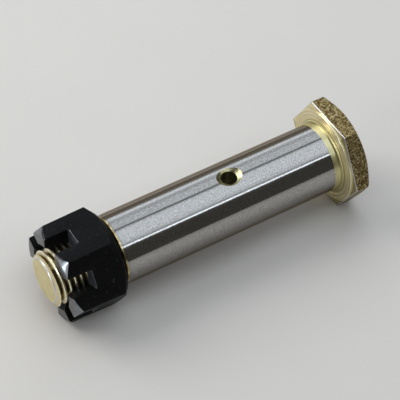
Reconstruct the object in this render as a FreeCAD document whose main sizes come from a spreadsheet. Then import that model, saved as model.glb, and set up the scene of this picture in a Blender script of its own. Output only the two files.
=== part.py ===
import FreeCAD
import Part
import math
import os
import Sketcher
from FreeCAD import Placement, Rotation, Vector

# Steering link pin with its slotted nut, in millimetres.
# X runs along the pin: the origin is at the centre of the face under the head,
# the head lies towards +X and the threaded end towards -X.
# Z is up as the pin lies on a flat of its head, with the grease outlet near the top.

doc = FreeCAD.newDocument("steering_link_pin")
sizes = doc.addObject("Spreadsheet::Sheet", "sizes")

driving_sizes = [
    ("shank_diameter", 28.0, "ground bearing diameter"),
    ("grip_length", 97.5, "from the face under the head to the nut"),
    ("plated_diameter", 27.8, "unground skin at both ends of the shank"),
    ("head_relief", 3.3, "unground length under the head"),
    ("end_relief", 0.95, "unground length before the lead at the nut end"),
    ("lead_length", 1.8, "length of the lead taper at the nut end"),
    ("shoulder_diameter", 25.5, "outside of the shoulder that the nut meets"),
    ("head_fillet", 1.8, "fillet between shank and head"),
    ("head_across_flats", 39.2, "hexagon of the head"),
    ("head_height", 8.2, "whole thickness of the head"),
    ("head_edge_round", 0.55, "rounding of the forged hexagon edges"),
    ("head_chamfer_diameter", 38.8, "flat circle on the outside of the head"),
    ("head_chamfer_angle", 30.0, "slope of the outer head chamfer"),
    ("washer_face_diameter", 38.5, "turned face under the head"),
    ("washer_face_height", 0.9, "how far the turned face stands proud"),
    ("washer_face_round", 0.5, "rounded edge of the turned face"),
    ("thread_diameter", 22.0, "crests of the M22 x 2.5 thread"),
    ("thread_length", 26.1, "from the shoulder to the end of the pin"),
    ("thread_relief_diameter", 18.6, "groove where the thread stops"),
    ("thread_relief_width", 4.0, "width of that groove"),
    ("thread_end_diameter", 18.0, "flat end face of the thread"),
    ("thread_end_chamfer", 1.1, "length of the chamfer at the end"),
    ("outlet_position", 44.3, "grease outlet from the face under the head"),
    ("outlet_diameter", 6.4, "drilled grease outlet"),
    ("outlet_countersink", 10.5, "countersink of the outlet"),
    ("outlet_countersink_angle", 120.0, "included angle of that countersink"),
    ("outlet_turn", 5.0, "turn of the outlet about the pin, from the top towards -Y"),
    ("gallery_diameter", 6.0, "long grease drilling from the head"),
    ("gallery_reach", 4.0, "how far that drilling runs past the outlet's axis"),
    ("port_diameter", 7.0, "core of the M8 x 1 grease port"),
    ("port_depth", 10.0, "depth of the port from the head's outside"),
    ("port_countersink", 9.0, "countersink of the port"),
    ("split_hole_diameter", 5.0, "hole for the split pin"),
    ("split_hole_position", 17.7, "split pin hole from the shoulder"),
    ("nut_across_flats", 35.7, "hexagon of the nut where it meets the shoulder"),
    ("nut_draft", 1.0, "forging draft of the flats, narrower to the front"),
    ("nut_height", 23.1, "whole height of the nut"),
    ("nut_seat_diameter", 33.4, "flat circle of the face that seats"),
    ("nut_seat_angle", 40.0, "slope of the chamfer round that face"),
    ("nut_front_diameter", 35.2, "flat circle of the slotted front"),
    ("nut_front_angle", 45.0, "slope of the chamfer round the front"),
    ("nut_bore_clearance", 0.1, "between the nut and the thread crests"),
    ("nut_seat_countersink", 24.0, "mouth of the bore at the seat"),
    ("nut_front_countersink", 27.0, "mouth of the bore at the front"),
    ("slot_count", 6, "slots round the nut"),
    ("slot_width", 7.8, "width of a slot"),
    ("slot_depth", 10.1, "depth of a slot from the front face"),
    ("slot_corner_radius", 1.0, "rounding at the floor of a slot"),
    ("tool_overrun", 2.0, "how far a cut starts outside the metal"),
]

for row, (alias, value, meaning) in enumerate(driving_sizes, start=1):
    sizes.set(f"A{row}", meaning)
    sizes.set(f"B{row}", str(value))
    sizes.setAlias(f"B{row}", alias)
doc.recompute()


def evaluate(expression):
    """Number that an expression gives with the sizes as they are."""
    return float(sizes.evalExpression(expression.replace("sizes.", "")))


def start_sketch(body, name, role, offset=None, turn=None):
    plane = next(p for p in body.Origin.OriginFeatures if p.Role == role)
    sketch = body.newObject("Sketcher::SketchObject", name)
    sketch.AttachmentSupport = [(plane, "")]
    sketch.MapMode = "FlatFace"
    if turn:
        sketch.AttachmentOffset = Placement(Vector(), Rotation(Vector(1, 0, 0), evaluate(turn)))
        sketch.setExpression("AttachmentOffset.Rotation.Angle", turn)
    if offset and turn:
        sketch.setExpression("AttachmentOffset.Base.y", f"-({offset}) * sin({turn})")
        sketch.setExpression("AttachmentOffset.Base.z", f"{offset} * cos({turn})")
    elif offset:
        sketch.setExpression("AttachmentOffset.Base.z", offset)
    return sketch


def fix_point(sketch, edge, end, name, across, up):
    """Holds one point of a sketch at a place given by two expressions."""
    if across == "0":
        sketch.addConstraint(Sketcher.Constraint("PointOnObject", edge, end, -2))
    else:
        held = Sketcher.Constraint("DistanceX", -1, 1, edge, end, evaluate(across))
        sketch.renameConstraint(sketch.addConstraint(held), f"{name}_across")
        sketch.setExpression(f"Constraints.{name}_across", across)
    if up == "0":
        sketch.addConstraint(Sketcher.Constraint("PointOnObject", edge, end, -1))
    else:
        held = Sketcher.Constraint("DistanceY", -1, 1, edge, end, evaluate(up))
        sketch.renameConstraint(sketch.addConstraint(held), f"{name}_up")
        sketch.setExpression(f"Constraints.{name}_up", up)


def draw_outline(sketch, points):
    """Closed outline of straight lines through named points."""
    names = list(points)
    corners = [Vector(evaluate(across), evaluate(up), 0) for across, up in points.values()]
    for i, corner in enumerate(corners):
        following = corners[(i + 1) % len(corners)]
        sketch.addGeometry(Part.LineSegment(corner, following), False)
    for i in range(len(corners)):
        after = (i + 1) % len(corners)
        sketch.addConstraint(Sketcher.Constraint("Coincident", i, 2, after, 1))
    for i, name in enumerate(names):
        fix_point(sketch, i, 1, name, *points[name])
    return sketch


def draw_hexagon(sketch, across_flats):
    """Hexagon with a flat on top, drawn on the plane across the pin."""
    steps_across = (2, 1, -1, -2, -1, 1)
    steps_up = (0, 1, 1, 0, -1, -1)
    points = {}
    for i, (step, rise) in enumerate(zip(steps_across, steps_up)):
        up = f"{rise} * {across_flats} / 2" if rise else "0"
        points[f"corner_{i + 1}"] = (f"{step} * {across_flats} / (2 * sqrt(3))", up)
    return draw_outline(sketch, points)


def draw_circle(sketch, across, up, diameter):
    place = Vector(evaluate(across), evaluate(up), 0)
    sketch.addGeometry(Part.Circle(place, Vector(0, 0, 1), evaluate(diameter) / 2), False)
    fix_point(sketch, 0, 3, "centre", across, up)
    round_size = Sketcher.Constraint("Diameter", 0, evaluate(diameter))
    sketch.renameConstraint(sketch.addConstraint(round_size), "diameter")
    sketch.setExpression("Constraints.diameter", diameter)
    return sketch


def turn_profile(body, name, sketch, kind):
    """Turned feature about the pin's own axis, added or cut."""
    axis = next(a for a in body.Origin.OriginFeatures if a.Role == "X_Axis")
    feature = body.newObject(kind, name)
    feature.Profile = sketch
    feature.ReferenceAxis = (axis, [""])
    feature.Angle = 360
    return feature


def cut_drilling(body, name, sketch, diameter, depth):
    """Blind drilling with a drill point, against the way its sketch faces."""
    doc.recompute()
    before = body.Shape.Volume
    drilling = body.newObject("PartDesign::Hole", name)
    drilling.Profile = sketch
    drilling.DepthType = "Dimension"
    drilling.DrillPoint = "Angled"
    drilling.setExpression("Diameter", diameter)
    drilling.setExpression("Depth", depth)
    doc.recompute()
    if body.Shape.Volume >= before:
        raise RuntimeError(f"{name} cuts nothing")
    return drilling


def add_countersink(drilling, diameter, angle):
    drilling.HoleCutType = "Countersink"
    drilling.HoleCutCustomValues = True
    drilling.setExpression("HoleCutDiameter", diameter)
    drilling.setExpression("HoleCutCountersinkAngle", angle)
    doc.recompute()


def edges_on_circle(shape, along, radius):
    """Names of the round edges about the pin's axis at a place and radius."""
    found = []
    for i, edge in enumerate(shape.Edges, start=1):
        box = edge.BoundBox
        flat = box.XLength < 1e-4 and abs(box.XMin - along) < 1e-4
        if flat and abs(box.ZMax - radius) < 1e-4 and abs(box.ZMin + radius) < 1e-4:
            found.append(f"Edge{i}")
    return found


def edges_along_pin(shape, length):
    """Names of the straight edges of a given length that run along X."""
    found = []
    for i, edge in enumerate(shape.Edges, start=1):
        box = edge.BoundBox
        if box.YLength < 1e-4 and box.ZLength < 1e-4 and abs(box.XLength - length) < 1e-4:
            found.append(f"Edge{i}")
    return found


def round_edges(body, name, edges, radius):
    solid_so_far = body.Tip
    rounding = body.newObject("PartDesign::Fillet", name)
    rounding.Base = (solid_so_far, edges)
    rounding.setExpression("Radius", radius)
    body.Tip = rounding
    doc.recompute()
    return rounding


def chamfer_outline(face, circle_diameter, across_flats, angle, inwards):
    """Triangle that is turned off the corners of a hexagon at one face.

    inwards is "+" or "-": the way from the face into the metal along X.
    """
    circle = f"{circle_diameter} / 2"
    outside = f"({across_flats} / sqrt(3) + sizes.tool_overrun)"
    drop = f"({outside} - {circle}) * tan({angle} * 1 deg)"
    return {
        "circle": (face, circle),
        "outside": (face, outside),
        "drop": (f"{face} {inwards} {drop}", outside),
    }


def build_pin():
    """Pin forged in one piece: head, ground shank and threaded end."""
    body = doc.addObject("PartDesign::Body", "link_pin")
    body.Label = "link_pin"

    shoulder = "-sizes.grip_length"
    pin_end = "-sizes.grip_length - sizes.thread_length"
    relief_end = "-sizes.grip_length - sizes.thread_relief_width"
    relief_depth = "(sizes.thread_diameter - sizes.thread_relief_diameter) / 2"
    lead_end = "-sizes.grip_length + sizes.lead_length"
    ground_end = f"{lead_end} + sizes.end_relief"
    plated = "sizes.plated_diameter / 2"
    crest = "sizes.thread_diameter / 2"

    turned = draw_outline(start_sketch(body, "turned_profile", "XZ_Plane"), {
        "end_centre": (pin_end, "0"),
        "end_edge": (pin_end, "sizes.thread_end_diameter / 2"),
        "thread_start": (f"{pin_end} + sizes.thread_end_chamfer", crest),
        "thread_stop": (f"{relief_end} - {relief_depth}", crest),
        "relief_start": (relief_end, "sizes.thread_relief_diameter / 2"),
        "relief_stop": (shoulder, "sizes.thread_relief_diameter / 2"),
        "shoulder_edge": (shoulder, "sizes.shoulder_diameter / 2"),
        "lead_edge": (lead_end, plated),
        "skin_edge": (ground_end, plated),
        "ground_start": (ground_end, "sizes.shank_diameter / 2"),
        "ground_stop": ("-sizes.head_relief", "sizes.shank_diameter / 2"),
        "neck_edge": ("-sizes.head_relief", plated),
        "neck_root": ("0", plated),
        "face_edge": ("0", "sizes.washer_face_diameter / 2"),
        "step_edge": ("sizes.washer_face_height", "sizes.washer_face_diameter / 2"),
        "step_centre": ("sizes.washer_face_height", "0"),
    })
    body.Tip = turn_profile(body, "turned_shank", turned, "PartDesign::Revolution")
    doc.recompute()

    neck = edges_on_circle(body.Shape, 0.0, evaluate(plated))
    round_edges(body, "neck_fillet", neck, "sizes.head_fillet")
    rim = edges_on_circle(body.Shape, 0.0, evaluate("sizes.washer_face_diameter / 2"))
    round_edges(body, "face_rounding", rim, "sizes.washer_face_round")

    hexagon = start_sketch(body, "head_hexagon", "YZ_Plane", offset="sizes.washer_face_height")
    draw_hexagon(hexagon, "sizes.head_across_flats")
    head = body.newObject("PartDesign::Pad", "head")
    head.Profile = hexagon
    head.setExpression("Length", "sizes.head_height - sizes.washer_face_height")
    body.Tip = head
    doc.recompute()
    head_sides = edges_along_pin(body.Shape, evaluate("sizes.head_height - sizes.washer_face_height"))
    round_edges(body, "forged_edges", head_sides, "sizes.head_edge_round")

    head_chamfer = start_sketch(body, "head_chamfer_profile", "XZ_Plane")
    draw_outline(head_chamfer, chamfer_outline(
        "sizes.head_height", "sizes.head_chamfer_diameter", "sizes.head_across_flats",
        "sizes.head_chamfer_angle", "-"))
    body.Tip = turn_profile(body, "head_chamfer", head_chamfer, "PartDesign::Groove")

    # grease way: port and long drilling from the head, outlet near the top of the shank
    port_circle = start_sketch(body, "port_circle", "YZ_Plane", offset="sizes.head_height")
    draw_circle(port_circle, "0", "0", "sizes.port_diameter")
    port = cut_drilling(body, "grease_port", port_circle, "sizes.port_diameter",
                        "sizes.port_depth")
    add_countersink(port, "sizes.port_countersink", "90")

    gallery_circle = start_sketch(body, "gallery_circle", "YZ_Plane", offset="sizes.head_height")
    draw_circle(gallery_circle, "0", "0", "sizes.gallery_diameter")
    cut_drilling(body, "grease_gallery", gallery_circle, "sizes.gallery_diameter",
                 "sizes.head_height + sizes.outlet_position + sizes.gallery_reach")

    outlet_circle = start_sketch(body, "outlet_circle", "XY_Plane",
                                 offset="sizes.shank_diameter / 2",
                                 turn="sizes.outlet_turn * 1 deg")
    draw_circle(outlet_circle, "-sizes.outlet_position", "0", "sizes.outlet_diameter")
    outlet = cut_drilling(body, "grease_outlet", outlet_circle, "sizes.outlet_diameter",
                          "sizes.shank_diameter / 2")
    add_countersink(outlet, "sizes.outlet_countersink", "sizes.outlet_countersink_angle")

    # split pin hole: one slot of the nut round from the top, right through the thread
    split_circle = start_sketch(body, "split_hole_circle", "XY_Plane",
                                turn="-360 / sizes.slot_count * 1 deg")
    draw_circle(split_circle, "-sizes.grip_length - sizes.split_hole_position", "0",
                "sizes.split_hole_diameter")
    split_hole = body.newObject("PartDesign::Pocket", "split_pin_hole")
    split_hole.Profile = split_circle
    split_hole.Type = "Length"
    split_hole.Midplane = True
    split_hole.setExpression("Length", "sizes.thread_diameter + 2 * sizes.tool_overrun")
    body.Tip = split_hole
    doc.recompute()
    return body


def draw_slot(sketch, mouth, floor, width, corner_radius):
    """Slot outline with a rounded floor; the floor lies towards the head."""
    mouth_x = evaluate(mouth)
    floor_x = evaluate(floor)
    half = evaluate(width) / 2
    corner = evaluate(corner_radius)
    bend_x = floor_x - corner
    axis = Vector(0, 0, 1)
    upper = Part.Circle(Vector(bend_x, half - corner, 0), axis, corner)
    lower = Part.Circle(Vector(bend_x, corner - half, 0), axis, corner)
    sketch.addGeometry([
        Part.LineSegment(Vector(mouth_x, half, 0), Vector(mouth_x, -half, 0)),
        Part.LineSegment(Vector(mouth_x, -half, 0), Vector(bend_x, -half, 0)),
        Part.ArcOfCircle(lower, -math.pi / 2, 0),
        Part.LineSegment(Vector(floor_x, corner - half, 0), Vector(floor_x, half - corner, 0)),
        Part.ArcOfCircle(upper, 0, math.pi / 2),
        Part.LineSegment(Vector(bend_x, half, 0), Vector(mouth_x, half, 0)),
    ], False)
    mouth_line, lower_side, lower_bend, floor_line, upper_bend, upper_side = range(6)
    for rule in (
        ("Coincident", mouth_line, 2, lower_side, 1),
        ("Tangent", lower_side, 2, lower_bend, 1),
        ("Tangent", lower_bend, 2, floor_line, 1),
        ("Tangent", floor_line, 2, upper_bend, 1),
        ("Tangent", upper_bend, 2, upper_side, 1),
        ("Coincident", upper_side, 2, mouth_line, 1),
        ("Vertical", mouth_line),
        ("Horizontal", lower_side),
        ("Vertical", floor_line),
        ("Horizontal", upper_side),
        ("Equal", lower_bend, upper_bend),
    ):
        sketch.addConstraint(Sketcher.Constraint(*rule))
    for name, rule, expression in (
        ("mouth", ("DistanceX", -1, 1, mouth_line, 1), mouth),
        ("floor", ("DistanceX", -1, 1, floor_line, 1), floor),
        ("upper_wall", ("DistanceY", -1, 1, mouth_line, 1), f"{width} / 2"),
        ("lower_wall", ("DistanceY", -1, 1, mouth_line, 2), f"-{width} / 2"),
        ("corner_radius", ("Radius", lower_bend), corner_radius),
    ):
        held = Sketcher.Constraint(*rule, evaluate(expression))
        sketch.renameConstraint(sketch.addConstraint(held), name)
        sketch.setExpression(f"Constraints.{name}", expression)
    return sketch


def build_nut():
    """Slotted hexagon nut, run up to the shoulder of the pin."""
    body = doc.addObject("PartDesign::Body", "castle_nut")
    body.Label = "castle_nut"
    seat = "-sizes.grip_length"
    front = "-sizes.grip_length - sizes.nut_height"

    hexagon = draw_hexagon(start_sketch(body, "nut_hexagon", "YZ_Plane", offset=seat),
                           "sizes.nut_across_flats")
    blank = body.newObject("PartDesign::Pad", "nut_blank")
    blank.Profile = hexagon
    blank.Reversed = True
    blank.setExpression("Length", "sizes.nut_height")
    blank.setExpression("TaperAngle", "-sizes.nut_draft * 1 deg")
    body.Tip = blank

    for end, face, inwards in (("seat", seat, "-"), ("front", front, "+")):
        triangle = start_sketch(body, f"{end}_chamfer_profile", "XZ_Plane")
        draw_outline(triangle, chamfer_outline(
            face, f"sizes.nut_{end}_diameter", "sizes.nut_across_flats",
            f"sizes.nut_{end}_angle", inwards))
        body.Tip = turn_profile(body, f"{end}_chamfer", triangle, "PartDesign::Groove")

    bore = "sizes.thread_diameter / 2 + sizes.nut_bore_clearance"
    front_mouth = "sizes.nut_front_countersink / 2"
    seat_mouth = "sizes.nut_seat_countersink / 2"
    bored = draw_outline(start_sketch(body, "bore_profile", "XZ_Plane"), {
        "front_centre": (front, "0"),
        "front_mouth": (front, front_mouth),
        "front_bore": (f"{front} + {front_mouth} - ({bore})", bore),
        "seat_bore": (f"{seat} - {seat_mouth} + ({bore})", bore),
        "seat_mouth": (seat, seat_mouth),
        "seat_centre": (seat, "0"),
    })
    body.Tip = turn_profile(body, "bore", bored, "PartDesign::Groove")
    doc.recompute()

    unslotted = body.Shape.Volume
    slot_outline = draw_slot(
        start_sketch(body, "slot_profile", "XY_Plane"),
        f"{front} - sizes.tool_overrun", f"{front} + sizes.slot_depth",
        "sizes.slot_width", "sizes.slot_corner_radius")
    slot = body.newObject("PartDesign::Pocket", "slot")
    slot.Profile = slot_outline
    slot.Type = "Length"
    slot.Reversed = True
    slot.setExpression("Length", "sizes.nut_across_flats / 2 + sizes.tool_overrun")
    doc.recompute()
    one_slot = unslotted - slot.Shape.Volume

    slots = body.newObject("PartDesign::PolarPattern", "slots")
    slots.Originals = [slot]
    slots.Axis = (next(a for a in body.Origin.OriginFeatures if a.Role == "X_Axis"), [""])
    slots.Angle = 360
    slots.setExpression("Occurrences", "sizes.slot_count")
    body.Tip = slots
    doc.recompute()
    cut_away = unslotted - body.Shape.Volume
    if one_slot <= 0 or abs(cut_away / one_slot - evaluate("sizes.slot_count")) > 0.01:
        raise RuntimeError("the slots of the nut are not all cut")
    return body


pieces = [build_pin(), build_nut()]
doc.recompute()

for thing in doc.Objects:
    if "Invalid" in thing.State or "Error" in thing.State:
        raise RuntimeError(f"{thing.Name} could not be built: {thing.State}")
for piece in pieces:
    if piece.Shape.isNull() or not piece.Shape.isValid():
        raise RuntimeError(f"{piece.Label} has no sound shape")

os.makedirs("parts", exist_ok=True)
for piece in pieces:
    piece.Shape.exportStep(f"parts/{piece.Label}.step")
    box = piece.Shape.optimalBoundingBox()
    print(f"{piece.Label}: {len(piece.Shape.Solids)} solid, {piece.Shape.Volume:.0f} mm3, "
          f"X {box.XMin:.2f} to {box.XMax:.2f}, Y {box.YMin:.2f} to {box.YMax:.2f}, "
          f"Z {box.ZMin:.2f} to {box.ZMax:.2f}")
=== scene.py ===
import math

import bpy
from mathutils import Matrix, Vector


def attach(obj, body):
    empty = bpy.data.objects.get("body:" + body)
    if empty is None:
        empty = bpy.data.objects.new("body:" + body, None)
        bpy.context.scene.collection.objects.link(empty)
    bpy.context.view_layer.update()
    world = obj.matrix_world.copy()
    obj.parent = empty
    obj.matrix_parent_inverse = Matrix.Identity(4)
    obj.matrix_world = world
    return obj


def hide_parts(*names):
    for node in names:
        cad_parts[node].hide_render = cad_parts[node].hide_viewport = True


# Steering link pin with its black slotted nut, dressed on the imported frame.
# X runs along the pin with the head at +X, Z is up, lengths in mm until they meet Blender.

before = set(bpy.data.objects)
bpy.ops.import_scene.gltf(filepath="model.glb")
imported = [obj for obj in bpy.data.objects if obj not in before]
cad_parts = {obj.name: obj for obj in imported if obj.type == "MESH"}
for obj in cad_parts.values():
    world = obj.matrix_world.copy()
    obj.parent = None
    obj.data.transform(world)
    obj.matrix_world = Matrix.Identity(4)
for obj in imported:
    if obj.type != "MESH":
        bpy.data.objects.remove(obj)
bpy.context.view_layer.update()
mm = 0.001
hair = 0.01  # in mm, for comparing places
weld = 0.0005 * mm  # points this close are one
print("frame loaded", sorted(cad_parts))


def pickNothing():
    # back to object mode with nothing chosen, so that no older choice is edited too
    if bpy.context.mode != "OBJECT":
        bpy.ops.object.mode_set(mode="OBJECT")
    bpy.ops.object.select_all(action="DESELECT")


def pickOnly(piece):
    pickNothing()
    piece.select_set(True)
    bpy.context.view_layer.objects.active = piece


def useModifier(piece, kind, **settings):
    # added and applied at once, as in the modifier tab
    pickOnly(piece)
    modifier = piece.modifiers.new(kind.title(), kind)
    for key, value in settings.items():
        setattr(modifier, key, value)
    bpy.ops.object.modifier_apply(modifier=modifier.name)


def combine(piece, other, operation):
    useModifier(piece, "BOOLEAN", operation=operation, object=other, solver="EXACT")
    bpy.data.objects.remove(other)


def cutAway(piece, cutter):
    combine(piece, cutter, "DIFFERENCE")


def keepInside(piece, envelope):
    combine(piece, envelope, "INTERSECT")


def weldOn(piece, other):
    combine(piece, other, "UNION")


def pickEdges(piece, wanted):
    pickOnly(piece)
    bpy.ops.object.mode_set(mode="EDIT")
    bpy.ops.mesh.select_mode(type="EDGE")
    bpy.ops.mesh.select_all(action="DESELECT")
    bpy.ops.object.mode_set(mode="OBJECT")
    points = piece.data.vertices
    for edge in piece.data.edges:
        start, end = (points[i].co / mm for i in edge.vertices)
        edge.select = wanted(start, end)
    bpy.ops.object.mode_set(mode="EDIT")


def pickAll(piece):
    pickOnly(piece)
    bpy.ops.object.mode_set(mode="EDIT")
    bpy.ops.mesh.select_all(action="SELECT")


def tidySkin(piece):
    pickAll(piece)
    bpy.ops.mesh.remove_doubles(threshold=weld)
    bpy.ops.mesh.normals_make_consistent(inside=False)
    bpy.ops.object.mode_set(mode="OBJECT")


def standAcross(bar, x, lean):
    # a bar drawn along X stands up, leans about X and goes to its place on the axis
    bar.data.transform(Matrix.Translation((x * mm, 0, 0))
                       @ Matrix.Rotation(math.radians(lean), 4, "X")
                       @ Matrix.Rotation(-math.pi / 2, 4, "Y"))


def turnBar(name, stations, sides=160):
    # a disc across the pin, drawn out and scaled from station to station (x, radius)
    pickNothing()
    x, radius = stations[0]
    bpy.ops.mesh.primitive_circle_add(vertices=sides, radius=radius * mm, fill_type="NGON",
                                      location=(x * mm, 0, 0), rotation=(0, math.pi / 2, 0))
    bar = bpy.context.active_object
    bar.name = name
    bpy.ops.object.transform_apply(location=True, rotation=True, scale=True)
    pickAll(bar)
    for nextX, nextRadius in stations[1:]:
        bpy.ops.mesh.extrude_region_move(
            TRANSFORM_OT_translate={"value": ((nextX - x) * mm, 0, 0)})
        grow = nextRadius / radius
        bpy.ops.transform.resize(value=(1, grow, grow), center_override=(nextX * mm, 0, 0))
        x, radius = nextX, nextRadius
    bpy.ops.object.mode_set(mode="OBJECT")
    tidySkin(bar)
    return bar


def drawHexagon(name, x, acrossFlats, length, endAcrossFlats):
    # six-sided bar with a flat on top, drawn out towards +X or -X
    pickNothing()
    bpy.ops.mesh.primitive_circle_add(vertices=6, radius=acrossFlats / math.sqrt(3) * mm,
                                      fill_type="NGON", location=(x * mm, 0, 0),
                                      rotation=(0, math.pi / 2, 0))
    bar = bpy.context.active_object
    bar.name = name
    bpy.ops.object.transform_apply(location=True, rotation=True, scale=True)
    tallest = max(point.co.z for point in bar.data.vertices) / mm
    if tallest > acrossFlats / 2 + hair:  # a corner on top: turn the flat up
        pickAll(bar)
        bpy.ops.transform.rotate(value=math.pi / 6, orient_axis="X", center_override=(0, 0, 0))
    pickAll(bar)
    bpy.ops.mesh.extrude_region_move(TRANSFORM_OT_translate={"value": (length * mm, 0, 0)})
    grow = endAcrossFlats / acrossFlats
    bpy.ops.transform.resize(value=(1, grow, grow), center_override=((x + length) * mm, 0, 0))
    bpy.ops.object.mode_set(mode="OBJECT")
    tidySkin(bar)
    return bar


# the M22 thread that pin and nut share
screw = {
    "pitch": 2.5,
    "crest": 10.98,
    "root": 9.47,
    "crestWidth": 0.44,
    "crestEase": 0.2,
    "crestRound": 0.6,
    "crestPhase": 1.225,
    "flank": 30,
}


def windThread(name, crest, root, swell, first, last, sides=144):
    # one pitch of the outline drawn point by point, wound up by Screw and cut square
    pitch = screw["pitch"]
    turns = math.ceil((last - first) / pitch) + 3  # a few to spare at the ends
    # the crest's middle passes the +Y side at crestPhase, a whole number of pitches away
    middle = screw["crestPhase"] + pitch * math.floor((first - screw["crestPhase"]) / pitch)
    halfCrest = screw["crestWidth"] / 2 + swell
    slope = math.tan(math.radians(screw["flank"]))
    halfFoot = halfCrest + (crest - root) * slope
    ease = screw["crestEase"]
    halfTop = halfCrest - ease * screw["crestRound"]
    outline = [
        (middle - pitch / 2, root),
        (middle - halfFoot, root),
        (middle - halfCrest - ease * slope, crest - ease),
        (middle - halfTop, crest),
        (middle + halfTop, crest),
        (middle + halfCrest + ease * slope, crest - ease),
        (middle + halfFoot, root),
        (middle + pitch / 2, root),
    ]
    pickNothing()
    x, y = outline[0]
    bpy.ops.mesh.primitive_plane_add(size=1 * mm, location=(x * mm, y * mm, 0))
    rod = bpy.context.active_object
    rod.name = name
    bpy.ops.object.transform_apply(location=True, rotation=True, scale=True)
    bpy.ops.object.mode_set(mode="EDIT")
    bpy.ops.mesh.select_mode(type="VERT")
    bpy.ops.mesh.select_all(action="SELECT")
    bpy.ops.mesh.merge(type="CENTER")
    bpy.ops.mesh.select_all(action="SELECT")
    for nextX, nextY in outline[1:]:
        bpy.ops.mesh.extrude_region_move(
            TRANSFORM_OT_translate={"value": ((nextX - x) * mm, (nextY - y) * mm, 0)})
        x, y = nextX, nextY
    bpy.ops.object.mode_set(mode="OBJECT")
    useModifier(rod, "SCREW", axis="X", angle=2 * math.pi, screw_offset=pitch * mm,
                iterations=turns, steps=sides, render_steps=sides, use_smooth_shade=False)
    tidySkin(rod)
    for cutX, side in ((first, -1), (last, 1)):
        pickAll(rod)
        bpy.ops.mesh.bisect(plane_co=(cutX * mm, 0, 0), plane_no=(side, 0, 0),
                            use_fill=True, clear_outer=True, threshold=weld / 50)
        bpy.ops.object.mode_set(mode="OBJECT")
    tidySkin(rod)
    return rod


def finishPiece(piece, name, sharpAngle):
    tidySkin(piece)
    piece.name = name
    piece.data.name = name
    pickOnly(piece)
    bpy.ops.object.shade_smooth_by_angle(angle=math.radians(sharpAngle))


def newFinish(name, **values):
    # a Principled surface with its plain numbers on its own sockets
    finish = bpy.data.materials.new(name)
    finish.use_nodes = True
    shader = finish.node_tree.nodes["Principled BSDF"]
    for socket, value in values.items():
        shader.inputs[socket].default_value = value
    return finish, finish.node_tree, shader


def addNoise(tree, place, scale, detail, roughness=0.55, stretch=(1, 1, 1)):
    mapping = tree.nodes.new("ShaderNodeMapping")
    mapping.inputs["Scale"].default_value = stretch
    noise = tree.nodes.new("ShaderNodeTexNoise")
    noise.inputs["Scale"].default_value = scale
    noise.inputs["Detail"].default_value = detail
    noise.inputs["Roughness"].default_value = roughness
    tree.links.new(place, mapping.inputs["Vector"])
    tree.links.new(mapping.outputs["Vector"], noise.inputs["Vector"])
    return noise.outputs["Fac"]


def addRamp(tree, value, stops):
    ramp = tree.nodes.new("ShaderNodeValToRGB")
    bar = ramp.color_ramp
    while len(bar.elements) < len(stops):
        bar.elements.new(0.5)
    for element, (position, color) in zip(bar.elements, stops):
        element.position = position
        element.color = (*color, 1)
    tree.links.new(value, ramp.inputs["Fac"])
    return ramp.outputs["Color"]


def addSpan(tree, value, low, high):
    # noise from 0..1 to a span of plain numbers
    span = tree.nodes.new("ShaderNodeMapRange")
    span.inputs["From Min"].default_value = 0.3
    span.inputs["From Max"].default_value = 0.7
    span.inputs["To Min"].default_value = low
    span.inputs["To Max"].default_value = high
    tree.links.new(value, span.inputs["Value"])
    return span.outputs["Result"]


def addBump(tree, shader, height, distance, strength, under=None):
    # distance in mm
    bump = tree.nodes.new("ShaderNodeBump")
    bump.inputs["Strength"].default_value = strength
    bump.inputs["Distance"].default_value = distance * mm
    tree.links.new(height, bump.inputs["Height"])
    if under:
        tree.links.new(under, bump.inputs["Normal"])
    tree.links.new(bump.outputs["Normal"], shader.inputs["Normal"])
    return bump.outputs["Normal"]


def objectPlace(tree):
    return tree.nodes.new("ShaderNodeTexCoord").outputs["Object"]


def setSurface(tree, shader, tone, roughness):
    tree.links.new(tone, shader.inputs["Base Color"])
    tree.links.new(roughness, shader.inputs["Roughness"])


def addRings(tree, place, scale, distortion):
    # fine turning marks round the pin's axis
    rings = tree.nodes.new("ShaderNodeTexWave")
    rings.wave_type = "RINGS"
    rings.rings_direction = "X"
    rings.inputs["Scale"].default_value = scale
    rings.inputs["Distortion"].default_value = distortion
    rings.inputs["Detail"].default_value = 3
    rings.inputs["Detail Scale"].default_value = 0.6
    tree.links.new(place, rings.inputs["Vector"])
    return rings.outputs["Fac"]


def addReach(tree, place, near, far):
    # 0 to 1 with the distance from the pin's axis, near and far in mm
    mapping = tree.nodes.new("ShaderNodeMapping")
    mapping.inputs["Scale"].default_value = (0, 1, 1)
    reach = tree.nodes.new("ShaderNodeVectorMath")
    reach.operation = "LENGTH"
    span = tree.nodes.new("ShaderNodeMapRange")
    span.inputs["From Min"].default_value = near * mm
    span.inputs["From Max"].default_value = far * mm
    tree.links.new(place, mapping.inputs["Vector"])
    tree.links.new(mapping.outputs["Vector"], reach.inputs[0])
    tree.links.new(reach.outputs["Value"], span.inputs["Value"])
    return span.outputs["Result"]


def makeGroundSteel():
    finish, tree, shader = newFinish("groundSteel", Metallic=1.0)
    # steel mirrors less and warmer where it turns away
    shader.inputs["Specular Tint"].default_value = (0.52, 0.45, 0.36, 1)
    place = objectPlace(tree)
    # fine marks of the grinding wheel, which run round the shank
    grind = addNoise(tree, place, 2600, detail=2, stretch=(1.0, 0.5, 0.5))
    speck = addNoise(tree, place, 3000, detail=3, roughness=0.8, stretch=(1.2, 0.7, 0.7))
    cloud = addNoise(tree, place, 60, detail=2)
    tone = addRamp(tree, speck, [(0.36, (0.233, 0.223, 0.21)), (0.45, (0.317, 0.307, 0.293)),
                                 (0.55, (0.383, 0.375, 0.362)), (0.64, (0.517, 0.508, 0.496))])
    setSurface(tree, shader, tone, addSpan(tree, cloud, 0.08, 0.12))
    addBump(tree, shader, grind, 0.004, 0.2)
    return finish


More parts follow.
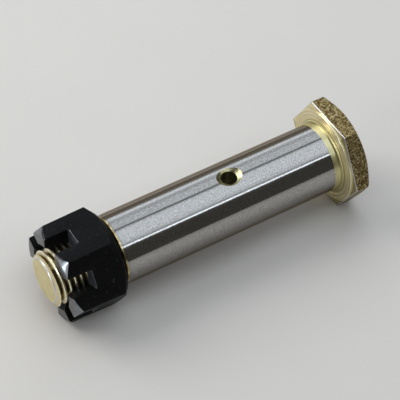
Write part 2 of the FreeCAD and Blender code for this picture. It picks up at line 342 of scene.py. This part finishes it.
def makeForgedZinc():
    # the head's rough sides and its outer face
    finish, tree, shader = newFinish("forgedZinc", Metallic=0.9)
    place = objectPlace(tree)
    coarse = addNoise(tree, place, 1300, detail=4, roughness=0.7)
    fine = addNoise(tree, place, 2600, detail=2, roughness=0.6)
    tone = addRamp(tree, coarse, [(0.36, (0.037, 0.022, 0.0067)), (0.45, (0.142, 0.092, 0.032)),
                                  (0.55, (0.3, 0.225, 0.092)), (0.66, (0.667, 0.6, 0.35))])
    setSurface(tree, shader, tone, addSpan(tree, fine, 0.42, 0.62))
    first = addBump(tree, shader, coarse, 0.2, 0.6)
    addBump(tree, shader, fine, 0.1, 0.4, under=first)
    return finish


def makeEndZinc():
    # the turned end of the thread
    finish, tree, shader = newFinish("endZinc", Metallic=0.75)
    place = objectPlace(tree)
    cloud = addNoise(tree, place, 220, detail=4, roughness=0.6)
    fine = addNoise(tree, place, 1400, detail=2)
    tone = addRamp(tree, cloud, [(0.3, (0.63, 0.53, 0.275)), (0.55, (0.7, 0.615, 0.345)),
                                 (0.75, (0.75, 0.67, 0.395))])
    setSurface(tree, shader, tone, addSpan(tree, cloud, 0.42, 0.55))
    addBump(tree, shader, fine, 0.03, 0.2)
    return finish


def makeThreadZinc():
    # dark at the thread's root and pale at its crest, by distance from the axis: painted shade
    # in the grooves and painted highlight on the crests
    finish, tree, shader = newFinish("threadZinc", Metallic=0.92)
    place = objectPlace(tree)
    cloud = addNoise(tree, place, 300, detail=2)
    reach = addReach(tree, place, 9.4, 11.0)
    # the root stop is painted shade, the crest stops are painted highlight
    tone = addRamp(tree, reach, [(0.05, (0.24, 0.175, 0.08)), (0.45, (0.56, 0.47, 0.26)),
                                 (0.8, (0.86, 0.8, 0.56)), (0.95, (0.92, 0.89, 0.72))])
    setSurface(tree, shader, tone, addSpan(tree, cloud, 0.18, 0.26))
    addBump(tree, shader, cloud, 0.01, 0.2)
    return finish


def makeBlackOxide():
    # the nut's black skin with a little dust
    finish, tree, shader = newFinish("blackOxide", Metallic=0.0)
    shader.inputs["Specular IOR Level"].default_value = 0.09
    place = objectPlace(tree)
    cloud = addNoise(tree, place, 260, detail=4, roughness=0.6)
    speck = addNoise(tree, place, 1200, detail=1)
    dust = addNoise(tree, place, 900, detail=4, roughness=0.75)
    tone = addRamp(tree, dust, [(0.3, (0.0025, 0.0025, 0.0029)), (0.62, (0.005, 0.005, 0.0054)),
                                (0.74, (0.075, 0.075, 0.071))])
    setSurface(tree, shader, tone, addSpan(tree, cloud, 0.4, 0.55))
    addBump(tree, shader, speck, 0.04, 0.3)
    return finish


# turned plating: tones and roughness span, scale and distortion of the turning marks
turnedFinishes = {
    # the washer face and the underside of the hexagon
    "facedZinc": {
        "metallic": 0.85, "rings": 220, "distortion": 1.2, "roughness": (0.26, 0.36),
        "tones": [(0.1, (0.7, 0.575, 0.32)), (0.5, (0.76, 0.665, 0.395)),
                  (0.9, (0.81, 0.74, 0.49))]},
    # the neck under the head
    "turnedZinc": {
        "metallic": 1.0, "rings": 330, "distortion": 0.8, "roughness": (0.3, 0.38),
        "tones": [(0.1, (0.38, 0.325, 0.125)), (0.5, (0.535, 0.48, 0.23)),
                  (0.9, (0.73, 0.68, 0.41))]},
}


def makeTurned(name, look):
    finish, tree, shader = newFinish(name, Metallic=look["metallic"])
    place = objectPlace(tree)
    cloud = addNoise(tree, place, 160, detail=3)
    rings = addRings(tree, place, look["rings"], look["distortion"])
    setSurface(tree, shader, addRamp(tree, rings, look["tones"]),
               addSpan(tree, cloud, *look["roughness"]))
    addBump(tree, shader, rings, 0.03, 0.3)
    return finish


# finishes of one noise: its scale and detail, the roughness span, tones, and the bump as
# height in mm and strength
cloudedFinishes = {
    # deeper yellow of the lead-in behind the nut
    "goldZinc": {
        "metallic": 1.0, "cloud": (500, 3), "roughness": (0.16, 0.26), "bump": (0.03, 0.4),
        "tones": [(0.35, (0.267, 0.167, 0.05)), (0.5, (0.45, 0.333, 0.142)),
                  (0.62, (0.683, 0.6, 0.367))]},
    # olive yellow of the outlet's countersink
    "outletZinc": {
        "metallic": 1.0, "cloud": (1100, 3), "roughness": (0.24, 0.34), "bump": (0.02, 0.3),
        "tones": [(0.35, (0.3, 0.258, 0.108)), (0.5, (0.45, 0.417, 0.225)),
                  (0.65, (0.667, 0.65, 0.45))]},
    # the lead-in's slope that faces the nut, dark brown: painted shade of the nut and its
    # painted dark reflection
    "brownZinc": {
        "metallic": 0.9, "cloud": (600, 3), "roughness": (0.35, 0.5), "bump": (0.03, 0.3),
        "tones": [(0.3, (0.042, 0.027, 0.01)), (0.7, (0.133, 0.092, 0.037))]},
    # bright bare steel: worn edges on the pin's arrises; on the nut a painted highlight along
    # the slot floors' edges and a painted glint on the thread crests inside the slots
    "bareEdge": {
        "metallic": 1.0, "cloud": (400, 2), "roughness": (0.28, 0.38), "bump": (0.01, 0.2),
        "tones": [(0.3, (0.65, 0.65, 0.633)), (0.7, (0.767, 0.775, 0.783))]},
    # inside of the drillings
    "drilledSteel": {
        "metallic": 1.0, "cloud": (500, 3), "roughness": (0.28, 0.4), "bump": (0.04, 0.4),
        "tones": [(0.3, (0.417, 0.4, 0.283)), (0.7, (0.55, 0.533, 0.4))]},
    # the nut's turned front, blackened thinly; on the thread inside the slots the same grey
    # steel gives painted light dots
    "facedSteel": {
        "metallic": 0.9, "cloud": (350, 4), "roughness": (0.34, 0.45), "bump": (0.05, 0.3),
        "tones": [(0.3, (0.125, 0.125, 0.129)), (0.6, (0.175, 0.175, 0.179)),
                  (0.8, (0.233, 0.233, 0.242))]},
    # its brighter chamfers
    "chamferSteel": {
        "metallic": 1.0, "cloud": (300, 3), "roughness": (0.12, 0.16), "bump": (0.01, 0.2),
        "tones": [(0.3, (0.188, 0.2, 0.218)), (0.7, (0.25, 0.271, 0.293))]},
    # milled floor of the slots
    "slotSteel": {
        "metallic": 0.5, "cloud": (450, 3), "roughness": (0.35, 0.5), "bump": (0.03, 0.3),
        "tones": [(0.3, (0.052, 0.058, 0.068)), (0.7, (0.12, 0.132, 0.15))]},
}


def makeClouded(name, look):
    finish, tree, shader = newFinish(name, Metallic=look["metallic"])
    scale, detail = look["cloud"]
    cloud = addNoise(tree, objectPlace(tree), scale, detail=detail)
    setSurface(tree, shader, addRamp(tree, cloud, look["tones"]),
               addSpan(tree, cloud, *look["roughness"]))
    addBump(tree, shader, cloud, *look["bump"])
    return finish


finishes = {finish.name: finish for finish in (
    makeGroundSteel(), makeForgedZinc(), makeEndZinc(), makeThreadZinc(), makeBlackOxide(),
    *(makeTurned(name, look) for name, look in turnedFinishes.items()),
    *(makeClouded(name, look) for name, look in cloudedFinishes.items()))}


def paintFaces(piece, names, choose):
    # choose gives a finish's name from a face's middle, its distance from the axis and normal
    piece.data.materials.clear()
    for name in names:
        piece.data.materials.append(finishes[name])
    for face in piece.data.polygons:
        middle = face.center / mm
        face.material_index = names.index(
            choose(middle, math.hypot(middle.y, middle.z), face.normal))


print("finishes ready", len(finishes))


# the link pin, sizes in mm and angles in degrees
pin = {
    "shank": 14.0,
    "plated": 13.9,
    "shoulderX": -97.5,
    "shoulder": 12.75,
    "shoulderEase": 0.12,
    "leadX": -95.7,
    "ringX": -95.15,
    "groundX": -94.75,
    # the grinding ends in a small step: how far it starts before and ends after its place
    "step": (0.02, 0.06),
    "shankStations": (-84, -72, -60, -52, -48, -40, -36, -28, -16, -8),
    "neckX": -3.3,
    "neckFillet": 1.8,
    "washerFace": 19.25,
    "washerRound": 0.5,
    # radius and depth of the turning marks
    "washerRings": [(16.2, 0.14), (17.1, 0.09), (18.0, 0.12)],
    "washerRingHalf": 0.22,
    "headX": 0.9,
    "headEndX": 8.2,
    "acrossFlats": 39.2,
    "headEdge": 0.55,
    "headArris": 0.3,
    "headCircle": 19.4,
    "headCorner": 26.0,
    "headSlope": 30,
    "endX": -123.6,
    "endFace": 9.0,
    # the worn arris of the end, along X and outwards from endFace
    "endRound": [(0, -0.3), (0.05, -0.08), (0.25, 0.1), (0.48, 0.17)],
    "endChamfer": 1.1,
    "reliefX": -101.5,
    "relief": 9.3,
    "reliefDrop": 0.15,
    "threadSkin": 0.02,
    "threadLap": 6,
    "outletX": -44.3,
    "outlet": 3.2,
    "outletMouth": 5.25,
    "outletSlope": 60,
    "outletTurn": 5,
    "outletWall": 12.7,
    "gallery": 3.0,
    "galleryEndX": -48.3,
    "drillPoint": 1.7,
    "port": 3.5,
    "portMouth": 4.5,
    "portEndX": -1.8,
    "portTaper": 0.6,
    "splitX": -115.2,
    "splitHole": 2.5,
    "splitLean": -60,
    "splitReach": 14,
}


def quarterRound(middleX, middleRadius, radius, start, stop, steps):
    # points of an arc in the (x, radius) outline, angles in degrees from +X
    points = []
    for i in range(steps + 1):
        angle = math.radians(start + (stop - start) * i / steps)
        points.append((middleX + radius * math.cos(angle),
                       middleRadius + radius * math.sin(angle)))
    return points


def makeShank():
    ease = pin["shoulderEase"]
    before, after = pin["step"]
    stations = [
        (pin["reliefX"] - pin["threadLap"], pin["relief"]),
        (pin["shoulderX"], pin["relief"]),
        (pin["shoulderX"], pin["shoulder"] - ease),
        (pin["shoulderX"] + ease, pin["shoulder"]),
        (pin["leadX"], pin["plated"]),
        (pin["ringX"], pin["plated"]),
        (pin["groundX"] - before, pin["plated"]),
        (pin["groundX"] + after, pin["shank"]),
    ]
    stations += [(x, pin["shank"]) for x in pin["shankStations"]]
    stations += [(pin["neckX"] - after, pin["shank"]), (pin["neckX"] + before, pin["plated"])]
    fillet = pin["neckFillet"]
    stations += quarterRound(-fillet, pin["plated"] + fillet, fillet, -90, 0, 8)
    half = pin["washerRingHalf"]
    for groove, deep in pin["washerRings"]:
        stations += [(0, groove - half), (deep, groove), (0, groove + half)]
    rim = pin["washerRound"]
    stations += quarterRound(rim, pin["washerFace"] - rim, rim, 180, 90, 5)
    stations += [(pin["headX"] + 1.0, pin["washerFace"])]
    return turnBar("shank", stations, sides=240)


def makeHead():
    head = drawHexagon("head", pin["headX"], pin["acrossFlats"],
                       pin["headEndX"] - pin["headX"], pin["acrossFlats"])
    pickEdges(head, lambda start, end: abs(start.x - end.x) > 1)
    bpy.ops.mesh.bevel(offset=pin["headEdge"] * mm, segments=4, affect="EDGES")
    bpy.ops.object.mode_set(mode="OBJECT")
    slope = math.tan(math.radians(pin["headSlope"]))
    corner = pin["headCorner"]
    crown = turnBar("crown", [
        (pin["headX"] - 1, corner),
        (pin["headEndX"] - (corner - pin["headCircle"]) * slope, corner),
        (pin["headEndX"], pin["headCircle"]),
    ])
    keepInside(head, crown)
    pickEdges(head, lambda start, end: max(start.x, end.x) < pin["headX"] + hair)
    bpy.ops.mesh.bevel(offset=pin["headArris"] * mm, segments=3, affect="EDGES")
    bpy.ops.object.mode_set(mode="OBJECT")
    return head


def makePinThread():
    rod = windThread("pinThread", screw["crest"], screw["root"], 0.0,
                     pin["endX"] - 2, pin["reliefX"] + 2)
    # the thread runs out into the relief groove on a cone of 45 degrees
    skin = screw["crest"] + pin["threadSkin"]
    groove = pin["relief"] - pin["reliefDrop"]
    end = turnBar("threadEnd", [
        *((pin["endX"] + along, pin["endFace"] + out) for along, out in pin["endRound"]),
        (pin["endX"] + pin["endChamfer"], skin),
        (pin["reliefX"] - (skin - groove), skin),
        (pin["reliefX"], groove),
    ])
    keepInside(rod, end)
    return rod


def makePin():
    piece = makeShank()
    weldOn(piece, makeHead())
    weldOn(piece, makePinThread())
    print("pin welded", len(piece.data.polygons))
    flare = pin["portMouth"] - pin["port"]
    past = 0.2
    gallery = turnBar("gallery", [
        (pin["galleryEndX"] - pin["drillPoint"], 0.1),
        (pin["galleryEndX"], pin["gallery"]),
        (pin["portEndX"] - pin["portTaper"], pin["gallery"]),
        (pin["portEndX"], pin["port"]),
        (pin["headEndX"] - flare, pin["port"]),
        (pin["headEndX"] + past, pin["portMouth"] + past),
    ], sides=48)
    cutAway(piece, gallery)
    slope = math.tan(math.radians(pin["outletSlope"]))
    depth = (pin["outletMouth"] - pin["outlet"]) / slope
    past = 0.6
    outlet = turnBar("outlet", [
        (0, pin["outlet"]),
        (pin["shank"] - depth, pin["outlet"]),
        (pin["shank"] + past, pin["outletMouth"] + past * slope),
    ], sides=64)
    standAcross(outlet, pin["outletX"], pin["outletTurn"])
    cutAway(piece, outlet)
    reach = pin["splitReach"]
    split = turnBar("splitHole", [(-reach, pin["splitHole"]), (reach, pin["splitHole"])],
                    sides=40)
    standAcross(split, pin["splitX"], pin["splitLean"])
    cutAway(piece, split)
    finishPiece(piece, "linkPin", 22)
    return piece


def pinFinish(middle, reach, normal):
    # from the threaded end to the head; outward is 1 on a face that looks away from the axis
    outward = (normal.y * middle.y + normal.z * middle.z) / max(reach, hair)
    arrisLong, arrisOut = pin["endRound"][-1]
    if middle.x < pin["endX"] + hair:
        return "endZinc"
    if middle.x < pin["endX"] + arrisLong - hair and reach < pin["endFace"] + arrisOut - hair:
        return "bareEdge"
    if middle.x < pin["endX"] + pin["endChamfer"] and normal.x < -0.3 and outward > 0.2:
        return "facedZinc"
    if middle.x < pin["shoulderX"] - hair:
        nearSplit = abs(middle.x - pin["splitX"]) < pin["splitHole"] + 0.5
        inside = reach < pin["relief"] - 0.2 and nearSplit
        return "drilledSteel" if inside else "threadZinc"
    if middle.x < pin["ringX"] and outward > 0.3:
        # the slope facing the nut gets the painted shade, the ring beside it stays gold
        return "brownZinc" if normal.x < -0.2 else "goldZinc"
    if middle.x < pin["portEndX"] - 0.2 and reach < pin["outletWall"]:
        return "drilledSteel"
    if middle.x > pin["headX"] + 0.5 and reach < pin["portMouth"]:
        return "drilledSteel"
    if middle.x < pin["neckX"] + 0.05:
        onGround = reach > pin["plated"] - 0.05 and outward > 0.9
        return "groundSteel" if onGround else "outletZinc"
    onArris = middle.x < pin["headX"] + pin["headArris"] + hair and reach > pin["washerFace"]
    if onArris and -0.97 < normal.x < -0.03:
        return "bareEdge"
    if middle.x > pin["headX"] - 0.05 and reach > pin["washerFace"] - 0.4:
        return "facedZinc" if normal.x < -0.3 else "forgedZinc"
    if middle.x > pin["headEndX"] - 0.3:
        return "forgedZinc"
    return "facedZinc" if reach > pin["shank"] + 1.2 else "turnedZinc"


linkPin = makePin()
paintFaces(linkPin, ["groundSteel", "facedZinc", "turnedZinc", "goldZinc", "brownZinc",
                     "bareEdge", "forgedZinc", "threadZinc", "endZinc", "drilledSteel",
                     "outletZinc"], pinFinish)
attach(linkPin, "root")
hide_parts("link_pin")
print("pin ready", len(linkPin.data.polygons))


# the castle nut
nut = {
    "seatX": -97.5,
    "frontX": -120.6,
    "acrossFlats": 35.7,
    "draft": 1.0,
    "corner": 23.0,
    "seatCircle": 16.7,
    "seatSlope": 40,
    "frontCircle": 17.6,
    "frontSlope": 45,
    "seatMouth": 12.0,
    "frontMouth": 13.5,
    "bore": 9.65,
    "threadRoot": 11.08,
    "threadSwell": 0.05,
    "slots": 6,
    "slotWidth": 7.8,
    "slotFloorX": -110.5,
    "slotCorner": 1.0,
    "slotPast": 4,
    "slotHeight": 50,
    "edge": 0.2,
    # the blackening is thin on what was turned: how far the front's chamfer reaches
    # along X, and from which radius it is bright
    "chamferDeep": 6,
    "brightCircle": 16,
}


def makeSlotCutter(turn):
    # a bar across the whole nut, with the two floor edges rounded
    pickNothing()
    floorX, frontX, past = nut["slotFloorX"], nut["frontX"], nut["slotPast"]
    middleX = (floorX + frontX - past) / 2
    bpy.ops.mesh.primitive_cube_add(size=1, location=(middleX * mm, 0, 0), scale=(
        (floorX - frontX + past) * mm, nut["slotWidth"] * mm, nut["slotHeight"] * mm))
    cutter = bpy.context.active_object
    bpy.ops.object.transform_apply(location=True, rotation=True, scale=True)
    pickEdges(cutter, lambda start, end: min(start.x, end.x) > floorX - hair
              and abs(start.z - end.z) > 1)
    bpy.ops.mesh.bevel(offset=nut["slotCorner"] * mm, segments=6, affect="EDGES")
    bpy.ops.object.mode_set(mode="OBJECT")
    cutter.data.transform(Matrix.Rotation(math.radians(turn), 4, "X"))
    return cutter


def makeNut():
    height = nut["seatX"] - nut["frontX"]
    frontFlats = nut["acrossFlats"] - 2 * height * math.tan(math.radians(nut["draft"]))
    piece = drawHexagon("castleNut", nut["seatX"], nut["acrossFlats"], -height, frontFlats)
    corner = nut["corner"]
    seatDrop = (corner - nut["seatCircle"]) * math.tan(math.radians(nut["seatSlope"]))
    frontDrop = (corner - nut["frontCircle"]) * math.tan(math.radians(nut["frontSlope"]))
    crown = turnBar("nutCrown", [
        (nut["frontX"], nut["frontCircle"]),
        (nut["frontX"] + frontDrop, corner),
        (nut["seatX"] - seatDrop, corner),
        (nut["seatX"], nut["seatCircle"]),
    ])
    keepInside(piece, crown)
    bore = turnBar("nutBore", [
        (nut["frontX"] - 1, nut["frontMouth"] + 1),
        (nut["frontX"] + nut["frontMouth"] - nut["bore"], nut["bore"]),
        (nut["seatX"] - nut["seatMouth"] + nut["bore"], nut["bore"]),
        (nut["seatX"] + 1, nut["seatMouth"] + 1),
    ], sides=120)
    cutAway(piece, bore)
    for i in range(nut["slots"] // 2):
        cutAway(piece, makeSlotCutter(i * 360 / nut["slots"]))
    useModifier(piece, "BEVEL", width=nut["edge"] * mm, segments=2, limit_method="ANGLE",
                angle_limit=math.radians(28), use_clamp_overlap=True)
    tap = windThread("tap", nut["threadRoot"], nut["bore"] - 0.3, nut["threadSwell"],
                     nut["frontX"] - 1.5, nut["seatX"] + 1.5)
    cutAway(piece, tap)
    finishPiece(piece, "castleNut", 30)
    return piece


def nutFinish(middle, reach, normal):
    # the front first, then the slots' floors and what the thread leaves of the bore
    atFront = middle.x < nut["frontX"] + nut["chamferDeep"] and normal.x < -0.35
    if atFront and reach > nut["frontMouth"] - 0.3:
        bright = normal.x > -0.93 and reach > nut["brightCircle"]
        return "chamferSteel" if bright else "facedSteel"
    outward = (normal.y * middle.y + normal.z * middle.z) / reach
    # the slot floor's outward edge carries a painted highlight
    if abs(middle.x - nut["slotFloorX"]) < 2 * nut["edge"] and normal.x < -0.1:
        return "bareEdge" if outward > 0.25 else "slotSteel"
    # inside the slots the thread's crests get a painted glint and its flanks lighter steel as
    # painted light dots
    if middle.x < nut["slotFloorX"] and reach < nut["bore"] + 0.7:
        return "bareEdge" if reach < nut["bore"] + 0.1 else "facedSteel"
    return "blackOxide"


castleNut = makeNut()
paintFaces(castleNut, ["blackOxide", "facedSteel", "chamferSteel", "slotSteel", "bareEdge"],
           nutFinish)
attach(castleNut, "root")
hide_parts("castle_nut")
print("nut ready", len(castleNut.data.polygons))


# floor, light and camera, in metres except where a note says mm
studio = {
    "tilt": 1.03,
    "floorZ": -19.6,  # mm
    "floorSize": 12,
    "floorTone": (0.718, 0.685, 0.643),
    "worldTone": (0.085, 0.082, 0.073),
    "stripFar": 0.9,
    "stripLong": 1.1,
    "stripMiddle": 0.33,
    "white": (1, 1, 1),
    "cool": (0.83, 0.91, 1.0),
    "warm": (1.0, 0.86, 0.66),
    # long lamps overhead: angle from the top towards +Y, from and to, then radiance and tone
    "strips": [(-44.6, -41, 3.6, "cool"), (-41, -35, 0.6, "cool"), (-35, -27, 1.2, "cool"),
               (-27, 8, 1.46, "cool"), (8, 12.5, 1.08, "cool"), (12.5, 18.5, 0.24, "cool"),
               (18.5, 42, 1.14, "cool"), (42, 53, 0.86, "cool"), (53, 58, 1.2, "cool"),
               (58, 64, 1.8, "cool"), (64, 70, 1.08, "cool"), (70, 88, 0.2, "warm")],
    "aim": (-0.06, 0, 0),
    # azimuth and rise as seen from the pin, how far, long and wide, then radiance and tone
    "softboxes": {
        "key": (128, 38, 1.1, 0.7, 0.7, 4.3, "white"),
        "leftWide": (178, 14, 1.2, 1.8, 0.45, 0.9, "white"),
        "leftSmall": (-176, 19, 0.9, 0.15, 0.36, 6.6, "cool"),
    },
    # the camera that was fitted to the photo: lens in mm, its place and its three directions
    "sensor": 36,
    "lens": 169.56,
    "place": (-0.309232, -0.399817, 0.540536),
    "right": (0.85338706, -0.52109093, 0.01395585),
    "up": (0.38237097, 0.64395364, 0.6626584),
    "back": (-0.3542922, -0.56016779, 0.74879175),
}


def makeFloor():
    pickNothing()
    bpy.ops.mesh.primitive_grid_add(x_subdivisions=8, y_subdivisions=8,
                                    size=studio["floorSize"])
    floor = bpy.context.active_object
    floor.name = "floor"
    floor.rotation_euler = (0, math.radians(studio["tilt"]), 0)
    # the plane passes under the head's lower edge at the head's underside
    floor.location = (pin["headX"] * mm, 0, studio["floorZ"] * mm)
    finish, tree, shader = newFinish("paleFloor", Roughness=0.9)
    shader.inputs["Specular IOR Level"].default_value = 0.0
    grain = addNoise(tree, objectPlace(tree), 30, detail=2)
    r, g, b = studio["floorTone"]
    tone = addRamp(tree, grain, [(0.3, (r - 0.01, g - 0.01, b - 0.01)), (0.7, (r, g, b))])
    tree.links.new(tone, shader.inputs["Base Color"])
    floor.data.materials.append(finish)


def addSoftbox(name, place, turn, long, wide, radiance, tone):
    lamp = bpy.data.lights.new(name, "AREA")
    lamp.shape = "RECTANGLE"
    lamp.size = long
    lamp.size_y = wide
    lamp.color = studio[tone]
    lamp.energy = radiance * math.pi * wide * long
    box = bpy.data.objects.new(name, lamp)
    box.location = place
    box.rotation_euler = turn
    bpy.context.scene.collection.objects.link(box)


def aimSoftbox(name, azimuth, rise, far, long, wide, radiance, tone):
    # a softbox that faces the pin
    flat = math.radians(azimuth)
    up = math.radians(rise)
    towards = Vector((math.cos(up) * math.cos(flat), math.cos(up) * math.sin(flat),
                      math.sin(up)))
    turn = towards.to_track_quat("Z", "Y").to_euler()
    place = Vector(studio["aim"]) + towards * far
    addSoftbox(name, place, turn, long, wide, radiance, tone)


def addLights():
    far = studio["stripFar"]
    for i, (start, stop, radiance, tone) in enumerate(studio["strips"]):
        angle = math.radians((start + stop) / 2)
        width = 2 * far * math.tan(math.radians((stop - start) / 2))
        place = (studio["stripMiddle"], far * math.sin(angle), far * math.cos(angle))
        addSoftbox(f"roof{i + 1}", place, (-angle, 0, 0), studio["stripLong"], width,
                   radiance, tone)
    for name, lamp in studio["softboxes"].items():
        aimSoftbox(name, *lamp)
    world = bpy.data.worlds.new("studio")
    bpy.context.scene.world = world
    world.use_nodes = True
    backdrop = world.node_tree.nodes["Background"]
    backdrop.inputs["Color"].default_value = (*studio["worldTone"], 1)


def addCamera():
    lens = bpy.data.cameras.new("camera")
    lens.sensor_width = studio["sensor"]
    lens.lens = studio["lens"]
    lens.clip_end = 50
    camera = bpy.data.objects.new("camera", lens)
    turn = Matrix([studio[side] for side in ("right", "up", "back")]).transposed()
    camera.matrix_world = Matrix.Translation(studio["place"]) @ turn.to_4x4()
    bpy.context.scene.collection.objects.link(camera)
    bpy.context.scene.camera = camera


makeFloor()
addLights()
addCamera()
bpy.context.scene.view_settings.view_transform = "Standard"
print("studio ready")
